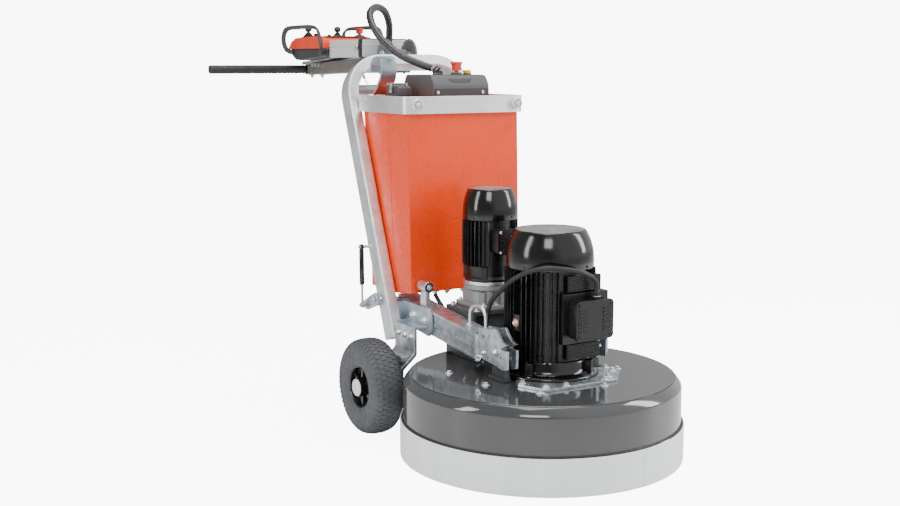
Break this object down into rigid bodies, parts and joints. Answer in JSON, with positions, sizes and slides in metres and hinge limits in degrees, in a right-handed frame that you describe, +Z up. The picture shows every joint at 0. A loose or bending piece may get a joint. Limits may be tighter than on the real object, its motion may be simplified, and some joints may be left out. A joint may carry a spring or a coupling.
{
  "type": "concrete grinder",
  "caption": "Walk-behind planetary concrete floor grinder: skirted round head with two motors, wheeled leaning frame, cabinet, and a tiller carrying a radio remote.",
  "frame": {"origin": "centre of the bounding box's bottom face, on the floor", "axes": "+Z up, -Y the front (grinding head), +Y the rear (tiller), +X the machine's right seen from behind the head"},
  "size_m": [0.866, 2.0207, 1.3581],
  "materials": {
    "zinc_steel": "bright zinc plate",
    "orange_paint": "smooth gloss paint",
    "graphite_paint": "glossy dark grey paint",
    "dark_paint": "dark grey painted alloy",
    "motor_black": "semi-gloss black paint on cast alloy",
    "carrier_alloy": "machined alloy casting",
    "black_paint": "semi-gloss black paint",
    "grey_casting": "grey painted casting",
    "machined_steel": "machined steel",
    "diamond_segment": "sintered metal segments",
    "black_rubber": "matt rubber",
    "tyre_grey": "grey foam-filled tyre",
    "rim_black": "black moulded rim",
    "dark_plastic": "fine-grained dark plastic",
    "grey_plastic": "light grey plastic",
    "orange_plastic": "glossy orange plastic",
    "red_button": "glossy red plastic",
    "yellow_button": "glossy yellow plastic",
    "skirt_pale": "pale dust skirt",
    "rail_aluminium": "satin aluminium"
  },
  "bodies": {
    "chassis": {"frame_hoop": "zinc_steel", "beam_left": "zinc_steel", "beam_right": "zinc_steel", "clevis_left": "zinc_steel", "clevis_right": "zinc_steel", "axle_bracket_left": "zinc_steel", "axle_bracket_right": "zinc_steel", "cabinet_shell": "orange_paint", "cabinet_rear_panel": "orange_paint", "inverter": "grey_plastic", "top_rail": "rail_aluminium", "console_hood": "dark_plastic", "connector_hood": "grey_casting", "conduit": "black_rubber", "motor_cable": "black_rubber", "sector_left": "grey_casting", "sector_right": "grey_casting"},
    "head": {"head_cover": "graphite_paint", "dust_skirt": "skirt_pale", "main_motor_end_shield": "motor_black", "main_motor_body": "motor_black", "main_motor_cowl": "motor_black", "main_terminal_box": "motor_black", "motor_plate": "zinc_steel", "small_motor_body": "motor_black", "small_motor_cowl": "motor_black", "gearbox": "grey_casting", "gearbox_pedestal": "dark_paint", "head_bracket_left": "zinc_steel", "head_bracket_right": "zinc_steel", "drive_belt": "black_rubber"},
    "rotor": {"main_rotor": "machined_steel"},
    "carrier": {"planet_carrier": "carrier_alloy"},
    "drive": {"drive_pulley": "machined_steel"},
    "disc_1": {"grinding_disc_1": "machined_steel", "diamond_tools_1": "diamond_segment"},
    "disc_2": {"grinding_disc_2": "machined_steel", "diamond_tools_2": "diamond_segment"},
    "disc_3": {"grinding_disc_3": "machined_steel", "diamond_tools_3": "diamond_segment"},
    "wheel_left": {"tyre_left": "tyre_grey", "rim_left": "rim_black"},
    "wheel_right": {"tyre_right": "tyre_grey", "rim_right": "rim_black"},
    "lever": {"spring_lever": "zinc_steel"},
    "spring_body": {"gas_spring_cylinder": "black_paint"},
    "spring_rod": {"gas_spring_rod": "machined_steel"},
    "estop": {"estop_button": "red_button"},
    "start": {"start_button": "yellow_button"},
    "latch": {"connector_latch": "machined_steel"},
    "tiller": {"tiller_arm": "dark_paint", "t_bar": "black_paint", "grip_left": "black_rubber", "grip_right": "black_rubber", "remote_cradle": "grey_plastic", "remote_base": "dark_plastic", "remote_cover": "orange_plastic"},
    "stick_left": {"joystick_left": "orange_plastic"},
    "stick_right": {"joystick_right": "orange_plastic"},
    "remote_stop": {"remote_estop": "red_button"}
  },
  "joints": [
    {"name": "head_pivot", "type": "hinge", "parent": "chassis", "child": "head", "pos_m": [0, -0.6102, 0.3297], "axis": [1, 0, 0], "range_deg": [-2, 1]},
    {"name": "rotor_spin", "type": "hinge", "parent": "head", "child": "rotor", "pos_m": [0.004, -0.6175, 0.3], "axis": [0, 0, 1], "continuous": true},
    {"name": "carrier_spin", "type": "hinge", "parent": "head", "child": "carrier", "pos_m": [0, -0.5855, 0.15], "axis": [0, 0, 1], "continuous": true},
    {"name": "drive_spin", "type": "hinge", "parent": "head", "child": "drive", "pos_m": [0, -0.2975, 0.3], "axis": [0, 0, 1], "continuous": true},
    {"name": "disc_1_spin", "type": "hinge", "parent": "carrier", "child": "disc_1", "pos_m": [0.2382, -0.448, 0.06], "axis": [0, 0, 1], "continuous": true},
    {"name": "disc_2_spin", "type": "hinge", "parent": "carrier", "child": "disc_2", "pos_m": [-0.2382, -0.448, 0.06], "axis": [0, 0, 1], "continuous": true},
    {"name": "disc_3_spin", "type": "hinge", "parent": "carrier", "child": "disc_3", "pos_m": [0, -0.8605, 0.06], "axis": [0, 0, 1], "continuous": true},
    {"name": "wheel_left_spin", "type": "hinge", "parent": "chassis", "child": "wheel_left", "pos_m": [-0.352, -0.1555, 0.152], "axis": [1, 0, 0], "continuous": true},
    {"name": "wheel_right_spin", "type": "hinge", "parent": "chassis", "child": "wheel_right", "pos_m": [0.352, -0.1555, 0.152], "axis": [1, 0, 0], "continuous": true},
    {"name": "lever_pivot", "type": "hinge", "parent": "chassis", "child": "lever", "pos_m": [-0.266, -0.0295, 0.4], "axis": [1, 0, 0], "range_deg": [-6, 6]},
    {"name": "spring_swing", "type": "hinge", "parent": "chassis", "child": "spring_body", "pos_m": [-0.282, 0.0395, 0.564], "axis": [1, 0, 0], "range_deg": [-0.8, 0.8]},
    {"name": "spring_stroke", "type": "slide", "parent": "spring_body", "child": "spring_rod", "axis": [0, 0.0156, 0.9999], "range_m": [-0.007, 0.007]},
    {"name": "estop_press", "type": "slide", "parent": "chassis", "child": "estop", "axis": [0, 0, -1], "range_m": [0, 0.005]},
    {"name": "start_press", "type": "slide", "parent": "chassis", "child": "start", "axis": [0, 0, -1], "range_m": [0, 0.003], "stiffness_N_per_m": 400, "springref_m": -0.0005},
    {"name": "latch_lift", "type": "hinge", "parent": "chassis", "child": "latch", "pos_m": [-0.152, 0.0145, 1.067], "axis": [1, 0, 0], "range_deg": [0, 60]},
    {"name": "tiller_tilt", "type": "hinge", "parent": "chassis", "child": "tiller", "pos_m": [0, 0.3045, 1.188], "axis": [1, 0, 0], "range_deg": [-20, 25], "deforming": ["conduit"]},
    {"name": "stick_left_tilt", "type": "hinge", "parent": "tiller", "child": "stick_left", "pos_m": [-0.062, 0.9045, 1.243], "axis": [1, 0, 0], "range_deg": [-18, 18], "stiffness_Nm_per_rad": 1},
    {"name": "stick_right_tilt", "type": "hinge", "parent": "tiller", "child": "stick_right", "pos_m": [0.062, 0.9045, 1.243], "axis": [1, 0, 0], "range_deg": [-18, 18], "stiffness_Nm_per_rad": 1},
    {"name": "remote_stop_press", "type": "slide", "parent": "tiller", "child": "remote_stop", "axis": [0, 0, -1], "range_m": [0, 0.004]}
  ],
  "couplings": [
    {"joint": "drive_spin", "follows": "carrier_spin", "ratio": 5.25},
    {"joint": "disc_1_spin", "follows": "rotor_spin", "ratio": -0.65},
    {"joint": "disc_2_spin", "follows": "rotor_spin", "ratio": -0.65},
    {"joint": "disc_3_spin", "follows": "rotor_spin", "ratio": -0.65},
    {"joint": "spring_swing", "follows": "lever_pivot", "ratio": 0.13},
    {"joint": "spring_stroke", "follows": "lever_pivot", "m_per_rad": 0.0664}
  ]
}
